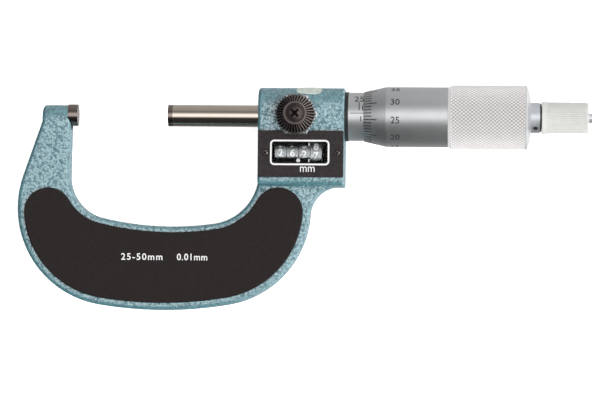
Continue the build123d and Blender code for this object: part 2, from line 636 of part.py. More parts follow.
def toothed(teeth, first, flank):
    """Toothed outline about the origin of the Y-Z plane. first is the direction of a tooth's
    middle, from +Y to +Z; flank runs up one side of a tooth, as (radius, share of a half tooth)."""
    half = math.pi / (2 * teeth)
    both = [(radius, -share) for radius, share in flank] + flank[::-1]
    corners = []
    for i in range(teeth):
        for radius, share in both:
            turn = first + (4 * i + share) * half
            corners.append((radius * math.cos(turn), radius * math.sin(turn)))
    return make_face(Polyline(*corners, close=True))


def along_x(face, x_span, centre):
    """Extrudes a face whose x is +Y and whose y is +Z along X, about a centre in that plane."""
    plane = Plane(origin=(x_span[0], *centre), x_dir=(0, 1, 0), z_dir=(1, 0, 0))
    return extrude(plane * face, x_span[1] - x_span[0])


def gear(teeth, pitch_r, x_span, centre, first, tip_r=None):
    """Spur gear along X with straight flanks and some backlash."""
    module = 2 * pitch_r / teeth
    flank = [(pitch_r - 1.2 * module, 1.15), (pitch_r, 0.72), (tip_r or pitch_r + 0.9 * module, 0.3)]
    return along_x(toothed(teeth, first, flank), x_span, centre)


def direction(start, end):
    """Direction from start to end in the Y-Z plane, in radians from +Y to +Z."""
    return math.atan2(end[1] - start[1], end[0] - start[0])


def facing_gap(first, teeth, pitch_r, centre, mate_teeth, mate_pitch_r, mate_centre):
    """First-tooth direction of a mate whose gap takes this gear's nearest tooth."""
    line = direction(centre, mate_centre)
    step = 2 * math.pi / teeth
    offset = (first - line + step / 2) % step - step / 2
    return line + math.pi - offset * pitch_r / mate_pitch_r + math.pi / mate_teeth


DRIVE_FIRST = direction((0, 0), IDLER_C)
IDLER_FIRST = facing_gap(DRIVE_FIRST, DRIVE_TEETH, DRIVE_R, (0, 0),
                         IDLER_TEETH, IDLER_R, IDLER_C)
WHEEL_PINION_FIRST = facing_gap(IDLER_FIRST, IDLER_TEETH, IDLER_R, IDLER_C,
                                WHEEL_PINION_TEETH, WHEEL_PINION_R, (COUNTER_Y, COUNTER_Z))
WHEEL_CENTRE = (COUNTER_Y, COUNTER_Z)
TRANSFER_CENTRE = (COUNTER_Y, COUNTER_Z - (RING_R - TRANSFER_R))
MESH_FIRST = direction(WHEEL_CENTRE, TRANSFER_CENTRE)


def drive_gear():
    """Gear that rides on the spindle and turns with it through the key."""
    body = gear(DRIVE_TEETH, DRIVE_R, TRAIN_X, (0, 0), DRIVE_FIRST)
    body += rod(DRIVE_X, 4.6)
    body -= rod((70, 75), MEASURING_R + RUNNING)
    return body - block(KEY_X, (-0.55, 0.55), (-4.0, 0))


def drive_key():
    """Key held in the gear's hub, sliding in the spindle's keyway."""
    return block(KEY_X, (-0.55, 0.55), (-4.0, -KEYWAY_FLOOR - 0.1))


def thrust_washer():
    return tube((FLANGE_START - 0.15, FLANGE_START), 5.4, 3.3)


def idler_gear():
    body = gear(IDLER_TEETH, IDLER_R, TRAIN_X, IDLER_C, IDLER_FIRST)
    return body - rod((70, 75), SHAFT_R + RUNNING, *IDLER_C)


def idler_stud():
    """Stud that the idler turns on, riveted in the bracket."""
    body = rod((TRAIN_X[0] - 0.05, BRACKET_X[1]), SHAFT_R, *IDLER_C)
    return body + rod((71.35, TRAIN_X[0] - 0.05), 0.8, *IDLER_C)


def digit_wheel_shaft():
    """Shaft along the counter, held in both cheeks."""
    return rod(BRACKET_X, SHAFT_R, *WHEEL_CENTRE)


def offset(span, x):
    """Span along X moved by x."""
    return span[0] + x, span[1] + x


def carrier_plates():
    """Plates pressed on the shaft that hold the transfer pinions, as separate solids."""
    plates = []
    y, z = TRANSFER_CENTRE
    slot_r = JOURNAL_R + 0.05
    for x in WHEEL_X[:-1]:
        span = offset(PLATE_SPAN, x)
        body = tube(span, CARRIER_R, SHAFT_R, *WHEEL_CENTRE)
        body -= rod(span, slot_r, y, z)
        plates.append(body - block(span, (y - slot_r, y + slot_r), (z - CARRIER_R, z)))
    return Compound(children=plates)


def ring_teeth():
    """Inner teeth on the right of a wheel's rim, in mesh with the transfer pinion."""
    depth = [(RING_R - 0.8 * CARRY_MODULE, 1.7), (RING_R, 1.28), (RIM_INNER, 0.85)]
    ring = rod(RING_SPAN, RIM_INNER + 0.1)
    return ring - along_x(toothed(RING_TEETH, MESH_FIRST, depth), RING_SPAN, (0, 0))


def carry_lugs():
    """Two teeth on the left of a wheel that push the transfer pinion once a turn."""
    lugs = None
    for turn in LUG_TURNS:
        lug = block((-RIM_HALF + 0.12, -WEB_HALF), (LUG_LOW, RIM_INNER + 0.1), (-0.2, 0.2))
        lug = Rot(turn, 0, 0) * lug
        lugs = lug if lugs is None else lugs + lug
    return lugs


def digit_wheel(index):
    """Wheel with a printed rim, a web and a hub, and the carry's teeth inside the rim."""
    x = WHEEL_X[index]
    body = tube((-RIM_HALF, RIM_HALF), WHEEL_R, RIM_INNER) + rod((-WEB_HALF, WEB_HALF), WHEEL_R)
    body += rod((-HUB_LEFT, HUB_RIGHT), HUB_R)
    if index > 0:
        body += carry_lugs()
    if index < len(WHEEL_X) - 1:
        body += ring_teeth()
    body = Pos(x, *WHEEL_CENTRE) * body
    if index == len(WHEEL_X) - 1:
        body += gear(WHEEL_PINION_TEETH, WHEEL_PINION_R, (x, TRAIN_X[1]), WHEEL_CENTRE,
                     WHEEL_PINION_FIRST)
    return body - rod((x - 2, TRAIN_X[1] + 1), SHAFT_R + RUNNING, *WHEEL_CENTRE)


def transfer_pinion(x):
    """Pinion whose left teeth mesh with the slower wheel and whose right teeth take the carry."""
    body = gear(TRANSFER_TEETH, TRANSFER_R, offset(DRIVEN_SPAN, x), TRANSFER_CENTRE, MESH_FIRST)
    body += rod(offset(JOURNAL_SPAN, x), JOURNAL_R, *TRANSFER_CENTRE)
    return body + gear(TRANSFER_TEETH, TRANSFER_R, offset(LUG_MATE_SPAN, x), TRANSFER_CENTRE,
                       MESH_FIRST, LUG_MATE_TIP)


# ---------------------------------------------------------------- all nodes
def make_nodes():
    nodes = {
        "frame": frame(),
        "front_heat_plate": insulating_plate(1),
        "rear_heat_plate": insulating_plate(-1),
        "blank_plate": small_plate(),
        "anvil": anvil(),
        "anvil_tip": anvil_tip(),
        "guide_bush": guide_bush(),
        "inner_sleeve": inner_sleeve(),
        "adjusting_nut": adjusting_nut(),
        "sleeve_collar": sleeve_collar(),
        "sleeve": sleeve(),
        "spindle": spindle(),
        "spindle_tip": spindle_tip(),
        "thimble": thimble(),
        "ratchet_base": ratchet_base(),
        "ratchet_disc": ratchet_disc(),
        "ratchet_wheel": ratchet_wheel(),
        "ratchet_spring": ratchet_spring(),
        "ratchet_cap": ratchet_cap(),
        "ratchet_screw": ratchet_screw(),
        "lock_bush": lock_bush(),
        "lock_plunger": lock_plunger(),
        "lock_stem": lock_stem(),
        "lock_knob": lock_knob(),
        "lock_knob_screw": lock_knob_screw(),
        "counter_cover": counter_cover(),
        "counter_window": counter_window(),
        "counter_mask": counter_mask(),
        "cover_screws": cover_screws(),
        "counter_bracket": counter_bracket(),
        "bracket_screws": bracket_screws(),
        "digit_wheel_shaft": digit_wheel_shaft(),
        "carrier_plates": carrier_plates(),
        "idler_stud": idler_stud(),
        "idler_gear": idler_gear(),
        "drive_gear": drive_gear(),
        "drive_key": drive_key(),
        "thrust_washer": thrust_washer(),
    }
    for index, name in enumerate(WHEEL_NAMES):
        nodes[name] = digit_wheel(index)
    for name, x in zip(PINION_NAMES, WHEEL_X):
        nodes[name] = transfer_pinion(x)
    return nodes


os.makedirs("parts", exist_ok=True)
for node_name, shape in make_nodes().items():
    shape.label = node_name
    export_step(shape, f"parts/{node_name}.step")
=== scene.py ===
"""Looks of the outside micrometer. Lengths below are millimetres unless a name says otherwise."""

import json
import math

import bmesh
import bpy
from mathutils import Matrix, Vector


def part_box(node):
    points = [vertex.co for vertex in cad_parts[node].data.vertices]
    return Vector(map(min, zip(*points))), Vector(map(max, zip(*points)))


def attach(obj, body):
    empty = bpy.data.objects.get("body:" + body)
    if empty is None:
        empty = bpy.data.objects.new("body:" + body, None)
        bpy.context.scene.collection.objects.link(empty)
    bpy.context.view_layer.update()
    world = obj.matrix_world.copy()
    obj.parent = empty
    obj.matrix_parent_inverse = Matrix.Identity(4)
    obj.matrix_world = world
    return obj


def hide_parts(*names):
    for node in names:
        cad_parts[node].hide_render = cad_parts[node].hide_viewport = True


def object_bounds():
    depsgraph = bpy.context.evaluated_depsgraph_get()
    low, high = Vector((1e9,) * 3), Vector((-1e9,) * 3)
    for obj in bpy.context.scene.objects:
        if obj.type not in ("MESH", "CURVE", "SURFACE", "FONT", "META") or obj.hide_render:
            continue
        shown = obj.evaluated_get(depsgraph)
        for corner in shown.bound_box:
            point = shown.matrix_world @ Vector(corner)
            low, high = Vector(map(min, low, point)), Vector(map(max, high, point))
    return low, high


MM = 0.001
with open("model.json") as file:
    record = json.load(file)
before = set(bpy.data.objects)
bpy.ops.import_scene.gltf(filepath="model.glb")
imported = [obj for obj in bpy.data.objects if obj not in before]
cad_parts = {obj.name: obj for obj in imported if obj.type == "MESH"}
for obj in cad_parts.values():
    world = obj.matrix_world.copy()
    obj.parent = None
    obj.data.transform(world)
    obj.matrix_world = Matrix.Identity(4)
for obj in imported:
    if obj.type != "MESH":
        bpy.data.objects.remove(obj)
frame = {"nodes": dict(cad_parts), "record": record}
cad_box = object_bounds()
scene = bpy.context.scene


def node_span(node, axis):
    """Lowest and highest coordinate of a CAD node along axis 0, 1 or 2, in millimetres."""
    low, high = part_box(node)
    return low[axis] / MM, high[axis] / MM


# ---------------------------------------------------------------- camera, lights and floor
CAMERA_PLACE = (119.8, -68.4, 1000.0)
CAMERA_TARGET = (64.7, -24.2, 0.0)
CAMERA_ROLL = math.radians(0.56)
CAMERA_LENS = 207.9
OBJECT_MIDDLE = (0.07, -0.02, 0.0)   # metres


def add_camera():
    """Camera above the front, a little to the right and below, with a long lens."""
    data = bpy.data.cameras.new("camera")
    data.lens = CAMERA_LENS
    data.sensor_width = 36.0
    data.clip_end = 20.0
    camera = bpy.data.objects.new("camera", data)
    place, target = Vector(CAMERA_PLACE) * MM, Vector(CAMERA_TARGET) * MM
    back = (place - target).normalized()
    up_hint = Vector((-math.sin(CAMERA_ROLL), math.cos(CAMERA_ROLL), 0.0))
    right = up_hint.cross(back).normalized()
    up = back.cross(right)
    turn = Matrix((right, up, back)).transposed().to_4x4()
    camera.matrix_world = Matrix.Translation(place) @ turn
    scene.collection.objects.link(camera)
    scene.camera = camera


def add_area(name, place, side, power):
    """Square area light at place, aimed at the middle of the object and left out of
    reflections, which see the studio instead. Metres and watts."""
    data = bpy.data.lights.new(name, "AREA")
    data.shape = "SQUARE"
    data.size = side
    data.energy = power
    light = bpy.data.objects.new(name, data)
    light.location = place
    aim = Vector(OBJECT_MIDDLE) - Vector(place)
    light.rotation_euler = aim.to_track_quat("-Z", "Y").to_euler()
    light.visible_glossy = False
    light.visible_camera = False
    scene.collection.objects.link(light)


STUDIO_RING = [      # degrees from straight above towards +Y, brightness of the studio there
    (-180, 0.50), (-150, 0.40), (-118, 0.14), (-95, 0.05), (-60, 0.03), (-28, 0.05),
    (-20, 0.30), (-14, 0.95), (-9, 1.55), (12, 1.70), (19, 1.00), (27, 0.55), (34, 0.29),
    (45, 0.26), (58, 0.42), (90, 0.48), (140, 0.52), (180, 0.50),
]
STUDIO_ENDS = [      # X of a direction where the screen starts and is full, its brightness
    (0.1, 0.45, 1.20), (-0.1, -0.6, 0.08),
]


def add_studio():
    """World seen in reflections: a bright strip overhead, grey towards +Y and below, dark
    towards -Y, a bright screen at the ratchet's end and a dark one at the anvil's."""
    world = bpy.data.worlds.new("studio")
    scene.world = world
    world.use_nodes = True
    nodes, links = world.node_tree.nodes, world.node_tree.links
    nodes.clear()
    place = nodes.new("ShaderNodeTexCoord")
    parts = nodes.new("ShaderNodeSeparateXYZ")
    links.new(place.outputs["Generated"], parts.inputs[0])
    angle = nodes.new("ShaderNodeMath")
    angle.operation = "ARCTAN2"
    links.new(parts.outputs["Y"], angle.inputs[0])
    links.new(parts.outputs["Z"], angle.inputs[1])
    share = nodes.new("ShaderNodeMapRange")
    share.inputs["From Min"].default_value = -math.pi
    share.inputs["From Max"].default_value = math.pi
    links.new(angle.outputs[0], share.inputs["Value"])
    ramp = nodes.new("ShaderNodeValToRGB")
    stops = ramp.color_ramp.elements
    while len(stops) > 1:
        stops.remove(stops[-1])
    for index, (degrees, level) in enumerate(STUDIO_RING):
        at = (degrees + 180) / 360
        stop = stops[0] if index == 0 else stops.new(at)
        stop.position = at
        stop.color = (level, level, level, 1.0)
    links.new(share.outputs[0], ramp.inputs[0])
    seen = ramp.outputs["Color"]
    for start, full, level in STUDIO_ENDS:
        side = nodes.new("ShaderNodeMapRange")
        side.inputs["From Min"].default_value = start
        side.inputs["From Max"].default_value = full
        links.new(parts.outputs["X"], side.inputs["Value"])
        blend = nodes.new("ShaderNodeMix")
        blend.data_type = "RGBA"
        links.new(side.outputs[0], blend.inputs[0])
        links.new(seen, blend.inputs[6])
        blend.inputs[7].default_value = (level, level, level, 1.0)
        seen = blend.outputs[2]
    background = nodes.new("ShaderNodeBackground")
    links.new(seen, background.inputs["Color"])
    output = nodes.new("ShaderNodeOutputWorld")
    links.new(background.outputs[0], output.inputs["Surface"])


def add_floor():
    """Plain pale floor that the thimble's grip touches."""
    bm = bmesh.new()
    bmesh.ops.create_grid(bm, x_segments=1, y_segments=1, size=3.0)
    mesh = bpy.data.meshes.new("floor")
    bm.to_mesh(mesh)
    bm.free()
    floor = bpy.data.objects.new("floor", mesh)
    floor.location = (OBJECT_MIDDLE[0], OBJECT_MIDDLE[1], cad_box[0][2])
    material = bpy.data.materials.new("floor")
    material.use_nodes = True
    shader = material.node_tree.nodes["Principled BSDF"]
    shader.inputs["Base Color"].default_value = (0.93, 0.93, 0.93, 1.0)
    shader.inputs["Roughness"].default_value = 0.9
    shader.inputs["Specular IOR Level"].default_value = 0.1
    shader.inputs["Emission Color"].default_value = (1.0, 1.0, 1.0, 1.0)
    shader.inputs["Emission Strength"].default_value = 0.75
    mesh.materials.append(material)
    floor.visible_glossy = False
    scene.collection.objects.link(floor)


add_camera()
add_studio()
add_area("key", (0.55, -0.55, 1.2), 0.8, 14.0)
add_area("fill", (0.15, 0.1, 1.6), 1.6, 3.0)
add_floor()
scene.view_settings.view_transform = "Standard"


# ---------------------------------------------------------------- material helpers
class Surface:
    """A node material under construction, with its Principled shader."""

    def __init__(self, name, color, roughness, metallic=0.0):
        self.material = bpy.data.materials.new(name)
        self.material.use_nodes = True
        self.nodes = self.material.node_tree.nodes
        self.links = self.material.node_tree.links
        self.shader = self.nodes["Principled BSDF"]
        self.shader.inputs["Base Color"].default_value = (*color, 1.0)
        self.shader.inputs["Roughness"].default_value = roughness
        self.shader.inputs["Metallic"].default_value = metallic
        self.height = None

    def place(self, stretch=(1.0, 1.0, 1.0)):
        """Position in millimetres, divided by stretch along each axis."""
        coordinates = self.nodes.new("ShaderNodeTexCoord")
        mapping = self.nodes.new("ShaderNodeMapping")
        mapping.inputs["Scale"].default_value = [1.0 / (MM * s) for s in stretch]
        self.links.new(coordinates.outputs["Object"], mapping.inputs["Vector"])
        return mapping.outputs["Vector"]

    def noise(self, size, stretch=(1.0, 1.0, 1.0), detail=3.0, roughness=0.55):
        """Noise with features about size millimetres wide."""
        texture = self.nodes.new("ShaderNodeTexNoise")
        texture.inputs["Scale"].default_value = 1.0 / size
        texture.inputs["Detail"].default_value = detail
        texture.inputs["Roughness"].default_value = roughness
        self.links.new(self.place(stretch), texture.inputs["Vector"])
        return texture.outputs["Fac"]

    def cells(self, size):
        """Rounded cells about size millimetres across."""
        texture = self.nodes.new("ShaderNodeTexVoronoi")
        texture.feature = "SMOOTH_F1"
        texture.inputs["Scale"].default_value = 1.0 / size
        self.links.new(self.place(), texture.inputs["Vector"])
        return texture.outputs["Distance"]

    def ramp(self, value, *stops):
        """Colour ramp of a value; each stop is (position, colour or grey)."""
        node = self.nodes.new("ShaderNodeValToRGB")
        elements = node.color_ramp.elements
        while len(elements) > 1:
            elements.remove(elements[-1])
        for index, (position, color) in enumerate(stops):
            element = elements[0] if index == 0 else elements.new(position)
            element.position = position
            grey = isinstance(color, (int, float))
            element.color = (color,) * 3 + (1.0,) if grey else (*color, 1.0)
        self.links.new(value, node.inputs[0])
        return node.outputs["Color"]

    def mix(self, factor, first, second):
        """Mix of two colours; each may be a socket or a colour."""
        node = self.nodes.new("ShaderNodeMix")
        node.data_type = "RGBA"
        if isinstance(factor, float):
            node.inputs[0].default_value = factor
        else:
            self.links.new(factor, node.inputs[0])
        for socket, value in ((node.inputs[6], first), (node.inputs[7], second)):
            if isinstance(value, tuple):
                socket.default_value = (*value, 1.0)
            else:
                self.links.new(value, socket)
        return node.outputs[2]

    def map(self, value, low, high, start=0.0, end=1.0):
        """Value mapped from start..end to low..high."""
        node = self.nodes.new("ShaderNodeMapRange")
        node.inputs["From Min"].default_value = start
        node.inputs["From Max"].default_value = end
        node.inputs["To Min"].default_value = low
        node.inputs["To Max"].default_value = high
        self.links.new(value, node.inputs["Value"])
        return node.outputs[0]

    def attribute(self, name):
        """A value stored on the mesh's points."""
        node = self.nodes.new("ShaderNodeAttribute")
        node.attribute_name = name
        return node.outputs["Fac"]

    def color(self, socket):
        """Base colour from a socket."""
        self.links.new(socket, self.shader.inputs["Base Color"])

    def rough(self, socket):
        """Roughness from a socket."""
        self.links.new(socket, self.shader.inputs["Roughness"])

    def bump(self, value, height, strength=1.0):
        """Bump whose full swing is height millimetres; later calls add to earlier ones."""
        node = self.nodes.new("ShaderNodeBump")
        node.inputs["Strength"].default_value = strength
        node.inputs["Distance"].default_value = height * MM
        self.links.new(value, node.inputs["Height"])
        if self.height is not None:
            self.links.new(self.height, node.inputs["Normal"])
        self.height = node.outputs["Normal"]
        self.links.new(self.height, self.shader.inputs["Normal"])


# ---------------------------------------------------------------- materials
def hammertone_paint():
    """Blue-green hammer paint: glossy light flecks among rougher dark ones."""
    s = Surface("hammertone_paint", (0.13, 0.30, 0.37), 0.38)
    cells = s.cells(0.75)
    speckle = s.noise(0.42, detail=4.0, roughness=0.65)
    dimples = s.ramp(cells, (0.15, 1.0), (0.75, 0.0))
    pattern = s.mix(0.55, dimples, s.ramp(speckle, (0.3, 0.0), (0.7, 1.0)))
    s.color(s.ramp(pattern, (0.36, (0.006, 0.100, 0.135)), (0.5, (0.025, 0.155, 0.195)),
                   (0.64, (0.100, 0.280, 0.320))))
    s.rough(s.map(pattern, 0.80, 0.20, 0.3, 0.62))
    s.bump(pattern, 0.08, 0.8)
    s.shader.inputs["IOR"].default_value = 3.1
    return s.material


def moulded(name, color, roughness, grain=0.25, height=0.01, spread=0.15, gloss=0.5):
    """Moulded plastic or enamel with a fine grain."""
    s = Surface(name, color, roughness)
    s.shader.inputs["Specular IOR Level"].default_value = gloss
    tone = s.noise(grain * 6, detail=2.0)
    low = tuple(c * (1 - spread) for c in color)
    high = tuple(min(1.0, c * (1 + spread)) for c in color)
    s.color(s.ramp(tone, (0.3, low), (0.7, high)))
    s.rough(s.map(s.noise(grain), roughness - 0.06, roughness + 0.06))
    s.bump(s.noise(grain, detail=4.0), height, 0.5)
    return s.material


RING_PITCH = 0.12                    # turning marks, drawn out round the measuring axis
RING_STRETCH = (1.0, 60.0, 60.0)


def turned_metal(name, color, roughness, height=0.002):
    """Metal turned or ground about the measuring axis: fine rings along X."""
    s = Surface(name, color, roughness, 1.0)
    rings = s.noise(RING_PITCH, RING_STRETCH, detail=2.0)
    haze = s.noise(4.0, detail=2.0)
    s.color(s.ramp(haze, (0.3, tuple(c * 0.95 for c in color)), (0.7, color)))
    s.rough(s.map(rings, roughness - 0.05, roughness + 0.05, 0.3, 0.7))
    s.bump(rings, height, 0.4)
    return s.material


def satin_chrome():
    """Satin chrome; on the thimble's grip the lands are painted pale and partly non-metallic as a
    painted highlight, and the pits between them painted dark as painted shade.
    """
    s = Surface("satin_chrome", (0.75, 0.76, 0.77), 0.41, 1.0)
    rings = s.noise(RING_PITCH, RING_STRETCH, detail=2.0)
    haze = s.ramp(s.noise(4.0, detail=2.0), (0.3, (0.71, 0.72, 0.73)), (0.7, (0.75, 0.76, 0.77)))
    # Painted highlight: near-white lands on the grip; painted shade: dark pits where the grooves run
    # and cross.
    grip = s.mix(s.attribute("pit_shade"), (0.98, 0.96, 0.955), (0.20, 0.19, 0.19))
    s.color(s.mix(s.attribute("grip"), haze, grip))
    s.links.new(s.map(s.attribute("grip"), 1.0, 0.3), s.shader.inputs["Metallic"])
    s.rough(s.map(rings, 0.36, 0.46, 0.3, 0.7))
    s.bump(rings, 0.002, 0.4)
    return s.material


def plain_metal(name, color, roughness):
    """Metal with faint machining haze in no direction."""
    s = Surface(name, color, roughness, 1.0)
    haze = s.noise(1.5, detail=4.0)
    s.color(s.ramp(haze, (0.3, tuple(c * 0.88 for c in color)), (0.7, color)))
    s.rough(s.map(haze, roughness - 0.04, roughness + 0.08, 0.3, 0.7))
    s.bump(s.noise(0.2, detail=3.0), 0.002, 0.3)
    return s.material


def black_oxide():
    """Blackened steel, lightened where the mesh marks rubbed wear and painted highlight, and painted
    near black in cross recesses as painted shade.
    """
    s = Surface("black_oxide", (0.04, 0.032, 0.03), 0.38, 0.9)
    haze = s.noise(0.8, detail=4.0)
    dark = s.ramp(haze, (0.3, (0.012, 0.009, 0.009)), (0.7, (0.035, 0.026, 0.025)))
    # Lighter where the mesh marks wear and painted highlight; near black in recesses as painted
    # shade.
    wear_and_sheen_tint = s.mix(s.attribute("wear_and_sheen"), dark, (0.50, 0.43, 0.40))
    s.color(s.mix(s.attribute("pit_shade"), wear_and_sheen_tint, (0.002, 0.002, 0.002)))
    s.rough(s.map(haze, 0.26, 0.38))
    s.bump(s.noise(0.25, detail=3.0), 0.004, 0.4)
    return s.material


def window_glass():
    """Clear moulded window."""
    s = Surface("window", (0.97, 0.98, 0.98), 0.04)
    s.shader.inputs["Transmission Weight"].default_value = 1.0
    s.shader.inputs["IOR"].default_value = 1.2
    s.bump(s.noise(3.0, detail=1.0), 0.002, 0.15)
    return s.material


def ink(name, color):
    """Paint filled into lines or printed, a little uneven."""
    s = Surface(name, color, 0.6)
    tone = s.noise(0.4, detail=3.0)
    s.color(s.ramp(tone, (0.3, tuple(c * 0.88 for c in color)), (0.7, color)))
    s.rough(s.map(tone, 0.55, 0.7))
    return s.material


MATERIALS = {
    "hammertone_paint": hammertone_paint(),
    "heat_plate": moulded("heat_plate", (0.012, 0.0075, 0.0075), 0.55, grain=0.18, gloss=0.28),
    "plate_enamel": moulded("plate_enamel", (0.50, 0.56, 0.51), 0.35, grain=0.3),
    "tool_steel": turned_metal("tool_steel", (0.66, 0.58, 0.50), 0.1, height=0.001),
    "carbide": turned_metal("carbide", (0.28, 0.235, 0.21), 0.16),
    "machined_steel": turned_metal("machined_steel", (0.52, 0.52, 0.53), 0.3),
    "black_plastic": moulded("black_plastic", (0.012, 0.012, 0.013), 0.45),
    "satin_chrome": satin_chrome(),
    "nickel": plain_metal("nickel", (0.86, 0.89, 0.93), 0.46),
    "pale_plastic": moulded("pale_plastic", (0.54, 0.54, 0.52), 0.5, grain=0.3, spread=0.04),
    "brass": turned_metal("brass", (0.66, 0.47, 0.20), 0.28),
    "black_oxide": black_oxide(),
    "cover_enamel": moulded("cover_enamel", (0.024, 0.019, 0.0195), 0.6, grain=0.12,
                            height=0.02, spread=0.3, gloss=0.3),
    "window": window_glass(),
    "wheel_plastic": turned_metal("wheel_plastic", (0.30, 0.31, 0.32), 0.42),
    "pinion_plastic": moulded("pinion_plastic", (0.78, 0.75, 0.66), 0.5),
}
BLACK_INK = ink("black_ink", (0.025, 0.025, 0.028))
WHITE_INK = ink("white_ink", (0.85, 0.85, 0.85))


OTHER_FINISH = {"anvil": "carbide"}  # as dark as its disc, unlike the other tool steel


def paint_cad_nodes():
    """Gives every CAD node the finish of its slot in the record."""
    for part in frame["record"]["subparts"]:
        node = frame["nodes"][part["node"]]
        node.data.materials.clear()
        finish = OTHER_FINISH.get(part["node"], part["material_slot"])
        node.data.materials.append(MATERIALS[finish])


paint_cad_nodes()


# ---------------------------------------------------------------- mesh helpers
SHARP = math.radians(32)
INK_PROUD, INK_SUNK = 0.012, 0.02    # of the surface it is printed on
WRAP_STEP = 0.3                      # longest flat stretch of ink round a drum


def add_piece(name, bm, material, body, sharp=SHARP):
    """Turns a bmesh in millimetres into a piece that rides on a body."""
    bmesh.ops.scale(bm, vec=(MM, MM, MM), verts=bm.verts)
    mesh = bpy.data.meshes.new(name)
    bm.to_mesh(mesh)
    bm.free()
    mesh.shade_smooth()
    mesh.set_sharp_from_angle(angle=sharp)
    mesh.materials.append(material)
    piece = bpy.data.objects.new(name, mesh)
    scene.collection.objects.link(piece)
    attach(piece, body)
    return piece


def on_drum(radius_at, angle, u, v, w):
    """Point at u along X, v mm round the drum from angle, w above its surface."""
    radius = radius_at(u)
    turn = angle + v / radius
    return Vector((u, (radius + w) * math.sin(turn), (radius + w) * math.cos(turn)))


def lettering(text, height, weight, spacing=1.0):
    """Text as a closed bmesh, centred on the origin, height tall, standing on z = 0 and as
    thick as the ink; weight makes its strokes heavier."""
    curve = bpy.data.curves.new("lettering", "FONT")
    curve.body = text
    curve.offset = weight
    curve.space_character = spacing
    curve.extrude = 0.5
    curve.resolution_u = 3
    holder = bpy.data.objects.new("lettering", curve)
    scene.collection.objects.link(holder)
    shape = holder.evaluated_get(bpy.context.evaluated_depsgraph_get())
    mesh = bpy.data.meshes.new_from_object(shape)
    bm = bmesh.new()
    bm.from_mesh(mesh)
    bpy.data.objects.remove(holder)
    bpy.data.curves.remove(curve)
    bpy.data.meshes.remove(mesh)
    bmesh.ops.remove_doubles(bm, verts=bm.verts, dist=1e-5)
    xs = [v.co.x for v in bm.verts]
    ys = [v.co.y for v in bm.verts]
    scale = height / (max(ys) - min(ys))
    middle = Vector(((max(xs) + min(xs)) / 2, (max(ys) + min(ys)) / 2, -0.5))
    for vert in bm.verts:
        flat = (vert.co - middle) * scale
        vert.co = (flat.x, flat.y, (vert.co.z + 0.5) * (INK_PROUD + INK_SUNK))
    return bm


def cut_across(bm, step):
    """Cuts a flat bmesh every step along Y, so that it can follow a drum."""
    low = min(v.co.y for v in bm.verts)
    high = max(v.co.y for v in bm.verts)
    for i in range(1, int((high - low) / step) + 1):
        geometry = bm.verts[:] + bm.edges[:] + bm.faces[:]
        bmesh.ops.bisect_plane(bm, geom=geometry, plane_co=(0, low + i * step, 0),
                               plane_no=(0, 1, 0))


def wrap(bm, radius_at, x, angle):
    """Lays a flat bmesh on a drum about the measuring axis, sunk a little into it."""
    cut_across(bm, WRAP_STEP)
    for vert in bm.verts:
        vert.co = on_drum(radius_at, angle, x + vert.co.x, vert.co.y, vert.co.z - INK_SUNK)


def add_slab(bm, u_span, v_span, w_span):
    """Adds a flat box to a bmesh."""
    corners = []
    for w in w_span:
        for u, v in ((0, 0), (1, 0), (1, 1), (0, 1)):
            corners.append(bm.verts.new((u_span[u], v_span[v], w)))
    for loop in ((3, 2, 1, 0), (4, 5, 6, 7), (0, 1, 5, 4), (1, 2, 6, 5), (2, 3, 7, 6), (3, 0, 4, 7)):
        bm.faces.new([corners[i] for i in loop])


def merge(target, other):
    """Adds bmesh other to target and frees it."""
    mesh = bpy.data.meshes.new("part")
    other.to_mesh(mesh)
    other.free()
    target.from_mesh(mesh)
    bpy.data.meshes.remove(mesh)


def lathe_grid(profile, segments, shape=None, axis="X"):
    """Closed surface of revolution. profile holds (along, radius) from end to end; shape may
    change a point given (index in profile, turn, along, radius)."""
    bm = bmesh.new()
    rings = []
    for index, (along, radius) in enumerate(profile):
        ring = []
        for i in range(segments):
            turn = 2 * math.pi * i / segments
            a, r = shape(index, turn, along, radius) if shape else (along, radius)
            c, s = r * math.cos(turn), r * math.sin(turn)
            ring.append(bm.verts.new((a, s, c) if axis == "X" else (c, s, a)))
        rings.append(ring)
    for first, second in zip(rings, rings[1:] + rings[:1]):
        for i in range(segments):
            j = (i + 1) % segments
            bm.faces.new((first[i], first[j], second[j], second[i]))
    bmesh.ops.recalc_face_normals(bm, faces=bm.faces)
    return bm


# ---------------------------------------------------------------- sleeve and thimble scales
SLEEVE_R = 7.0
DATUM_TURN = math.radians(4.9)       # the sleeve's index line, from +Z towards +Y
LOW_END = 25.0                       # reading where the sleeve's scale starts
SCALE_ZERO = 81.83                   # place of the sleeve's 25 mm line
READING = node_span("spindle_tip", 0)[0]
THIMBLE_EDGE = node_span("thimble", 0)[0]
BEVEL_END, THIMBLE_R = 89.4, 8.67
EDGE_R = 7.2
HALF_LINE = 0.14
INDEX_GAP = 0.85                     # between the index line and the lines beside it
NUMERAL_WEIGHT = 0.008
THIMBLE_NUMERALS = 92.2              # middle of the thimble's numerals


def sleeve_radius(x):
    """Radius of the sleeve, the same at every x."""
    return SLEEVE_R


def thimble_radius(x):
    """Radius of the thimble's bevel and barrel at x."""
    share = min(1.0, max(0.0, (x - THIMBLE_EDGE) / (BEVEL_END - THIMBLE_EDGE)))
    return EDGE_R + share * (THIMBLE_R - EDGE_R)


def drum_line(bm, radius_at, angle, u_span, v_span):
    """Adds a thin inked slab to bm, v measured round the drum from angle."""
    slab = bmesh.new()
    add_slab(slab, u_span, v_span, (0.0, INK_PROUD + INK_SUNK))
    wrap(slab, radius_at, 0.0, angle)
    merge(bm, slab)


def drum_text(bm, text, height, radius_at, x, angle, weight=NUMERAL_WEIGHT):
    """Adds a numeral centred at x and angle on a drum."""
    glyphs = lettering(text, height, weight)
    wrap(glyphs, radius_at, x, angle)
    merge(bm, glyphs)


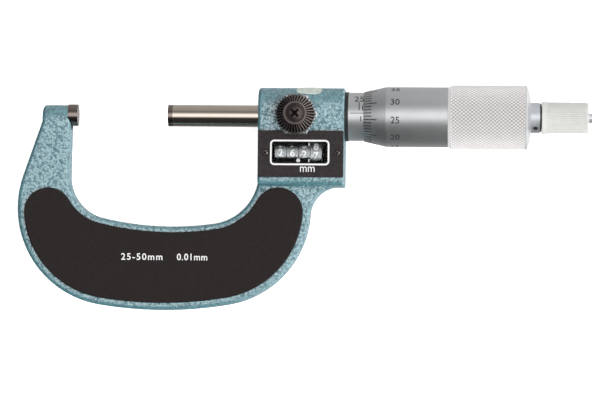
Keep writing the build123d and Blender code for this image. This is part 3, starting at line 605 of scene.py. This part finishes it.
def sleeve_scale():
    """Index line, millimetre lines above it, half-millimetre lines below it, and numerals."""
    bm = bmesh.new()
    low, high = node_span("sleeve", 0)
    last = high - 0.4
    drum_line(bm, sleeve_radius, DATUM_TURN, (low + 0.5, last), (-0.09, 0.09))
    for step in range(51):
        x = SCALE_ZERO + step / 2
        if x > last:
            break
        whole = step % 2 == 0
        fifth = step % 10 == 0
        length = 2.6 if fifth else 1.5
        reach = INDEX_GAP + length
        span = (INDEX_GAP, reach) if whole else (-reach, -INDEX_GAP)
        drum_line(bm, sleeve_radius, DATUM_TURN, (x - HALF_LINE, x + HALF_LINE), span)
        if fifth:
            numeral = str(round(LOW_END + step / 2))
            turn = DATUM_TURN + 4.75 / SLEEVE_R
            drum_text(bm, numeral, 2.2, sleeve_radius, x, turn)
    add_piece("sleeve_scale", bm, BLACK_INK, "frame")


def thimble_scale():
    """Fifty divisions on the bevel, with a numeral at every fifth."""
    bm = bmesh.new()
    divisions = 50
    shown = (READING - LOW_END) * 100 % divisions
    for k in range(divisions):
        turn = DATUM_TURN + (k - shown) * 2 * math.pi / divisions
        length = 3.8 if k % 5 == 0 else 2.3
        drum_line(bm, thimble_radius, turn, (THIMBLE_EDGE + 0.03, THIMBLE_EDGE + length),
                  (-HALF_LINE, HALF_LINE))
        if k % 5 == 0:
            drum_text(bm, str(k), 2.0, thimble_radius, THIMBLE_NUMERALS, turn)
    add_piece("thimble_scale", bm, BLACK_INK, "spindle")


# ---------------------------------------------------------------- thimble
KNURL_START, KNURL_END = 108.35, 129.8
KNURL_R, KNURL_DEPTH = 9.3, 0.3
KNURLS_ROUND, KNURLS_ALONG = 56, 18
GRIP_STEP = 107.3                    # the grip's painted highlight on the lands and painted shade in the pits start past this
THIMBLE_BORE = 7.08


def knurl_height(i, j):
    """Height, 0 in the grooves to 1 on the lands, at quarter steps along and round."""
    def from_groove(quarters):
        part = quarters % 4
        return min(part, 4 - part)
    return min(1, from_groove(i + j), from_groove(i - j))


def knurl_pit(i, j):
    """Painted shade, 1 where two grooves cross, less along one groove, 0 on the lands."""
    grooves = ((i + j) % 4 == 0) + ((i - j) % 4 == 0)
    return (0.0, 0.6, 1.0)[grooves]


def build_thimble():
    """Thimble with a diamond-knurled grip, its bevel and its bore."""
    front = [(KNURL_START, KNURL_R - KNURL_DEPTH), (108.2, 9.16), (107.45, 8.72),
             (107.25, THIMBLE_R), (BEVEL_END + 0.2, THIMBLE_R), (BEVEL_END, THIMBLE_R - 0.02),
             (THIMBLE_EDGE + 0.1, EDGE_R + 0.025), (THIMBLE_EDGE, EDGE_R - 0.04),
             (THIMBLE_EDGE, THIMBLE_BORE), (128.6, THIMBLE_BORE), (128.6, 3.2),
             (131.15, 2.95)]
    back = [(131.2, 4.1), (131.1, 5.2), (130.75, 7.3), (130.15, 8.93), (KNURL_END, 9.12)]
    around = KNURLS_ROUND * 4
    along = KNURLS_ALONG * 4
    bm = bmesh.new()
    grip, pit_shade = bm.verts.layers.float.new("grip"), bm.verts.layers.float.new("pit_shade")

    def ring(x, radius_of):
        row = []
        for j in range(around):
            turn = 2 * math.pi * j / around
            r = radius_of(j)
            row.append(bm.verts.new((x, r * math.sin(turn), r * math.cos(turn))))
        return row

    def skirt(first, second):
        for j in range(around):
            k = (j + 1) % around
            bm.faces.new((first[j], first[k], second[k], second[j]))

    rows = []
    for i in range(along + 1):
        x = KNURL_START + (KNURL_END - KNURL_START) * i / along
        rows.append(ring(x, lambda j, i=i: KNURL_R - KNURL_DEPTH * (1 - knurl_height(i, j))))
    for i in range(along):
        for j in range(around):
            k = (j + 1) % around
            a, b, c, d = rows[i][j], rows[i][k], rows[i + 1][k], rows[i + 1][j]
            heights = [knurl_height(i, j), knurl_height(i, j + 1),
                       knurl_height(i + 1, j + 1), knurl_height(i + 1, j)]
            if heights[0] + heights[2] <= heights[1] + heights[3]:
                bm.faces.new((a, b, c))
                bm.faces.new((a, c, d))
            else:
                bm.faces.new((a, b, d))
                bm.faces.new((b, c, d))
    chain = [rows[0]] + [ring(x, lambda j, r=r: r) for x, r in front[1:]]
    chain += [ring(x, lambda j, r=r: r) for x, r in back] + [rows[-1]]
    for first, second in zip(chain, chain[1:]):
        skirt(first, second)
    # Painted shade in the knurl's grooves, darkest where they cross.
    for i, row in enumerate(rows):
        for j, vert in enumerate(row):
            vert[pit_shade] = knurl_pit(i, j)
    for vert in bm.verts:
        vert[grip] = 1.0 if GRIP_STEP < vert.co.x <= KNURL_END else 0.0
    bmesh.ops.recalc_face_normals(bm, faces=bm.faces)
    thimble = add_piece("thimble_turned", bm, MATERIALS["satin_chrome"], "spindle",
                        math.radians(12))
    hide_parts("thimble")


# ---------------------------------------------------------------- ratchet cap
def build_ratchet_cap():
    """Cap with fine straight flutes, a plain rim at its mouth and a moulded end face."""
    flutes, samples = 48, 4
    low, high = node_span("ratchet_cap", 0)
    rim_r, body_r = 4.75, 4.56
    profile = [
        (low, 3.6), (low, rim_r - 0.1), (low + 0.1, rim_r), (low + 0.55, rim_r),
        (low + 0.65, rim_r - 0.06), (low + 1.15, rim_r - 0.08), (low + 1.3, body_r),
        (low + 1.9, body_r - 0.005), (high - 0.9, body_r - 0.05), (high - 0.35, body_r - 0.09),
        (high - 0.06, body_r - 0.3), (high, body_r - 0.45), (high, 2.3), (high - 0.15, 2.15),
        (high - 0.15, 1.2), (high - 2.3, 1.2), (high - 2.3, 3.6)]
    fluted = range(7, 10)

    def shape(index, turn, along, radius):
        if index in fluted:
            wave = abs((turn * flutes / (2 * math.pi)) % 1 - 0.5) * 2
            radius -= 0.14 * (1 - min(1.0, wave * 1.6))
        return along, radius

    bm = lathe_grid(profile, flutes * samples, shape)
    cap = add_piece("ratchet_cap_fluted", bm, MATERIALS["pale_plastic"], "ratchet")
    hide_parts("ratchet_cap")


# ---------------------------------------------------------------- lock knob
LOCK_X = (node_span("lock_knob", 0)[0] + node_span("lock_knob", 0)[1]) / 2


def build_lock_knob():
    """Lock knob with straight flutes round a plain ring, painted lighter on its ridges and its ring.
    """
    flutes, samples = 36, 8
    depths = (0.0, 0.0, 0.75, 1.0, 1.0, 1.0, 0.75, 0.0)
    profile = [               # height, radius, share of the flute depth
        (9.75, 2.3, 0.0), (9.75, 4.9, 0.0), (10.2, 5.4, 0.6), (10.9, 5.98, 1.0),
        (12.3, 6.0, 1.0), (12.75, 5.8, 1.0), (14.2, 4.75, 1.0), (15.55, 3.7, 0.9),
        (15.8, 3.45, 0.25), (15.9, 3.3, 0.0), (15.96, 3.15, 0.0), (15.96, 2.95, 0.0),
        (15.7, 2.72, 0.0), (14.42, 2.7, 0.0), (14.42, 1.72, 0.0), (10.35, 1.72, 0.0),
        (10.35, 2.3, 0.0)]
    depth = 0.7

    def shape(index, turn, along, radius):
        share = profile[index][2]
        sample = round(turn * flutes * samples / (2 * math.pi)) % samples
        cut = depth * share * depths[sample]
        return along - cut * 0.55, radius - cut * 0.8

    bm = lathe_grid([(z, r) for z, r, share in profile], flutes * samples, shape, axis="Z")
    wear_and_sheen = bm.verts.layers.float.new("wear_and_sheen")
    for vert in bm.verts:
        turn = math.atan2(vert.co.y, vert.co.x) % (2 * math.pi)
        sample = round(turn * flutes * samples / (2 * math.pi)) % samples
        on_ridge = depths[sample] == 0.0 and vert.co.z > 10.5
        on_ring = vert.co.z > 15.85
        # Ridges and top ring are painted lighter.
        vert[wear_and_sheen] = 0.3 if on_ring else (0.55 if on_ridge else 0.0)
    bmesh.ops.translate(bm, vec=(LOCK_X, 0, 0), verts=bm.verts)
    knob = add_piece("lock_knob_fluted", bm, MATERIALS["black_oxide"], "lock_knob")
    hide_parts("lock_knob")


# ---------------------------------------------------------------- cross-head screws
def domed_screw(x, y, low, top, radius, dome, turned, arm, shine):
    """Screw head from z low to top with a cross recess; arm is the cross's (reach, half width);
    shine is a painted highlight on the dome, and the recess is painted near black as painted shade.
    """
    steps = 7
    profile = [(low, 0.01), (low, radius), (top - dome, radius)]
    for i in range(steps, 0, -1):
        share = i / steps
        profile.append((top - dome * share ** 2.4, radius * share))
    profile.append((top, 0.01))
    reach, half = arm

    def shape(index, turn, along, r):
        u, v = r * math.cos(turn - turned), r * math.sin(turn - turned)
        in_cross = r < reach and min(abs(u), abs(v)) < half
        return (along - dome * 0.8 if index > 2 and in_cross else along), r

    bm = lathe_grid(profile, 64, shape, axis="Z")
    wear_and_sheen, pit_shade = bm.verts.layers.float.new("wear_and_sheen"), bm.verts.layers.float.new("pit_shade")
    for vert in bm.verts:
        r = math.hypot(vert.co.x, vert.co.y)
        in_cross = r < reach and vert.co.z < top - dome * 0.7
        # Painted highlight on the dome outside the cross; painted shade in the cross recess.
        vert[wear_and_sheen] = 0.0 if in_cross or vert.co.z < top - dome else shine
        vert[pit_shade] = 1.0 if in_cross else 0.0
    bmesh.ops.translate(bm, vec=(x, y, 0), verts=bm.verts)
    return bm


COVER_SCREW_Y, COVER_SCREW_R = -11.0, 0.88
COVER_SCREW_INSET = 0.85             # from the ends of the cover_screws node


def pin(x, y, z, radius, length, segments):
    """Plain round bar along Z, centred at a point."""
    bm = bmesh.new()
    bmesh.ops.create_cone(bm, cap_ends=True, segments=segments, radius1=radius, radius2=radius,
                          depth=length)
    bm.transform(Matrix.Translation((x, y, z)))
    return bm


def build_screws():
    """Knob screw and the two cover screws."""
    # The last argument of each domed_screw call is the painted highlight on its dome.
    knob_screw = domed_screw(LOCK_X, 0, 14.43, 15.7, 2.5, 0.6, math.radians(45), (1.3, 0.26), 0.16)
    merge(knob_screw, pin(LOCK_X, 0, 12.5, 0.8, 3.8, 32))
    screw = add_piece("lock_knob_screw_domed", knob_screw, MATERIALS["black_oxide"], "lock_knob")
    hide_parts("lock_knob_screw")
    low, high = node_span("cover_screws", 0)
    top = node_span("counter_cover", 2)[1]
    pair = bmesh.new()
    for x, turned in ((low + COVER_SCREW_INSET, 0.5), (high - COVER_SCREW_INSET, 0.9)):
        merge(pair, domed_screw(x, COVER_SCREW_Y, top - 0.5, top - 0.02, COVER_SCREW_R, 0.35,
                                turned, (0.55, 0.14), 0.9))
        merge(pair, pin(x, COVER_SCREW_Y, top - 2.5, 0.5, 4.0, 24))
    screws = add_piece("cover_screws_domed", pair, MATERIALS["black_oxide"], "frame")
    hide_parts("cover_screws")


SPANNER_HOLE_X, SPANNER_HOLE_R = 132.5, 0.69
SPANNER_HOLE_TURN = math.radians(48)   # from +Z towards -Y


def build_spanner_hole():
    """Dark plug in the spanner hole in the ratchet's neck: painted shade standing in for the hole's
    shadow.
    """
    floor = pin(0, 0, 3.4, SPANNER_HOLE_R, 1.6, 24)
    lean = Matrix.Rotation(SPANNER_HOLE_TURN, 4, "X")
    floor.transform(Matrix.Translation((SPANNER_HOLE_X, 0, 0)) @ lean)
    add_piece("spanner_hole_painted_shade", floor, MATERIALS["black_plastic"], "spindle")


# ---------------------------------------------------------------- counter printing
def flat_text(name, text, height, place, weight=0.0, stretch=1.0, spacing=1.0):
    """Printed text lying flat on the frame's body at place, facing +Z."""
    bm = lettering(text, height, weight, spacing)
    bmesh.ops.scale(bm, vec=(stretch, 1, 1), verts=bm.verts)
    x, y, z = place
    bmesh.ops.translate(bm, vec=(x, y, z - INK_SUNK), verts=bm.verts)
    add_piece(name, bm, WHITE_INK, "frame")


def rounded_ring(outer_x, outer_y, line, radius, z_span, corner_steps=8):
    """Flat ring of even width with round corners."""
    def outline(inset):
        x0, x1 = outer_x[0] + inset, outer_x[1] - inset
        y0, y1 = outer_y[0] + inset, outer_y[1] - inset
        r = radius - inset
        centres = [(x1 - r, y1 - r, 0), (x0 + r, y1 - r, 1), (x0 + r, y0 + r, 2),
                   (x1 - r, y0 + r, 3)]
        points = []
        for cx, cy, quarter in centres:
            for i in range(corner_steps + 1):
                turn = (quarter + i / corner_steps) * math.pi / 2
                points.append((cx + r * math.cos(turn), cy + r * math.sin(turn)))
        return points

    bm = bmesh.new()
    z0, z1 = z_span
    loops = []
    for inset, z in ((0, z0), (0, z1), (line, z1), (line, z0)):
        loops.append([bm.verts.new((x, y, z)) for x, y in outline(inset)])
    for first, second in zip(loops, loops[1:] + loops[:1]):
        for i in range(len(first)):
            j = (i + 1) % len(first)
            bm.faces.new((first[i], first[j], second[j], second[i]))
    bmesh.ops.recalc_face_normals(bm, faces=bm.faces)
    return bm


def disc(bm, x, y, z_span, radius, segments=32):
    """Adds a flat round dot to bm."""
    rings = []
    for z in z_span:
        rings.append([bm.verts.new((x + radius * math.cos(2 * math.pi * i / segments),
                                    y + radius * math.sin(2 * math.pi * i / segments), z))
                      for i in range(segments)])
    bm.faces.new(rings[1])
    bm.faces.new(rings[0][::-1])
    for i in range(segments):
        j = (i + 1) % segments
        bm.faces.new((rings[0][i], rings[0][j], rings[1][j], rings[1][i]))


def counter_printing():
    """White frame line and unit on the cover, decimal point and two ticks on the mask."""
    cover_top = node_span("counter_cover", 2)[1]
    line = rounded_ring((56.45, 73.5), (-14.6, -7.3), 0.48, 1.2,
                        (cover_top - INK_SUNK, cover_top + INK_PROUD))
    add_piece("counter_border", line, WHITE_INK, "frame")
    flat_text("unit_mark", "mm", 1.55, (67.2, -15.75, cover_top), stretch=0.87)
    mask_top = node_span("counter_mask", 2)[1]
    z_span = (mask_top - INK_SUNK, mask_top + INK_PROUD)
    marks = bmesh.new()
    upper_y, lower_y = -8.55, -13.2
    disc(marks, 64.5, lower_y, z_span, 0.58)
    for y in (upper_y, lower_y):
        add_slab(marks, (67.42, 67.78), (y - 0.4, y + 0.4), z_span)
    add_piece("decimal_marks", marks, WHITE_INK, "frame")


# ---------------------------------------------------------------- digits on the counter wheels
WHEELS = [           # node, middle of its digits, digit shown, degrees it has turned on
    ("tens_wheel", 59.4, 2, 0.6), ("units_wheel", 62.8, 6, 0.6),
    ("tenths_wheel", 66.2, 2, -3.8), ("hundredths_wheel", 69.6, 7, -10.2),
]


def wheel_digits(wheel, x, shown, lean):
    """Ten white numerals round a wheel; shown faces the window, turned lean degrees up."""
    low_y, high_y = node_span(wheel, 1)
    low_z, high_z = node_span(wheel, 2)
    axis_y, axis_z = (low_y + high_y) / 2, (low_z + high_z) / 2
    radius = (high_z - low_z) / 2
    bm = bmesh.new()
    for digit in range(10):
        turn = math.radians((digit - shown) * 36 + lean)
        drum_text(bm, str(digit), 2.2, lambda u: radius, x, turn, 0.03)
    bmesh.ops.translate(bm, vec=(0, axis_y, axis_z), verts=bm.verts)
    add_piece(wheel.replace("_wheel", "_digits"), bm, WHITE_INK, wheel)


# ---------------------------------------------------------------- printing on the bow's plate
def plate_printing():
    """Measuring range and smallest division, as plain figures."""
    top = node_span("front_heat_plate", 2)[1]
    height, line_y, weight = 1.95, -41.1, 0.012
    flat_text("range_mark", "25-50mm", height, (19.45, line_y, top), weight,
              spacing=1.22)
    flat_text("division_mark", "0.01mm", height, (34.0, line_y, top), weight,
              stretch=0.95, spacing=1.1)


build_thimble()
build_ratchet_cap()
build_lock_knob()
build_screws()
build_spanner_hole()
sleeve_scale()
thimble_scale()
counter_printing()
for wheel_name, wheel_x, digit_shown, wheel_lean in WHEELS:
    wheel_digits(wheel_name, wheel_x, digit_shown, wheel_lean)
plate_printing()
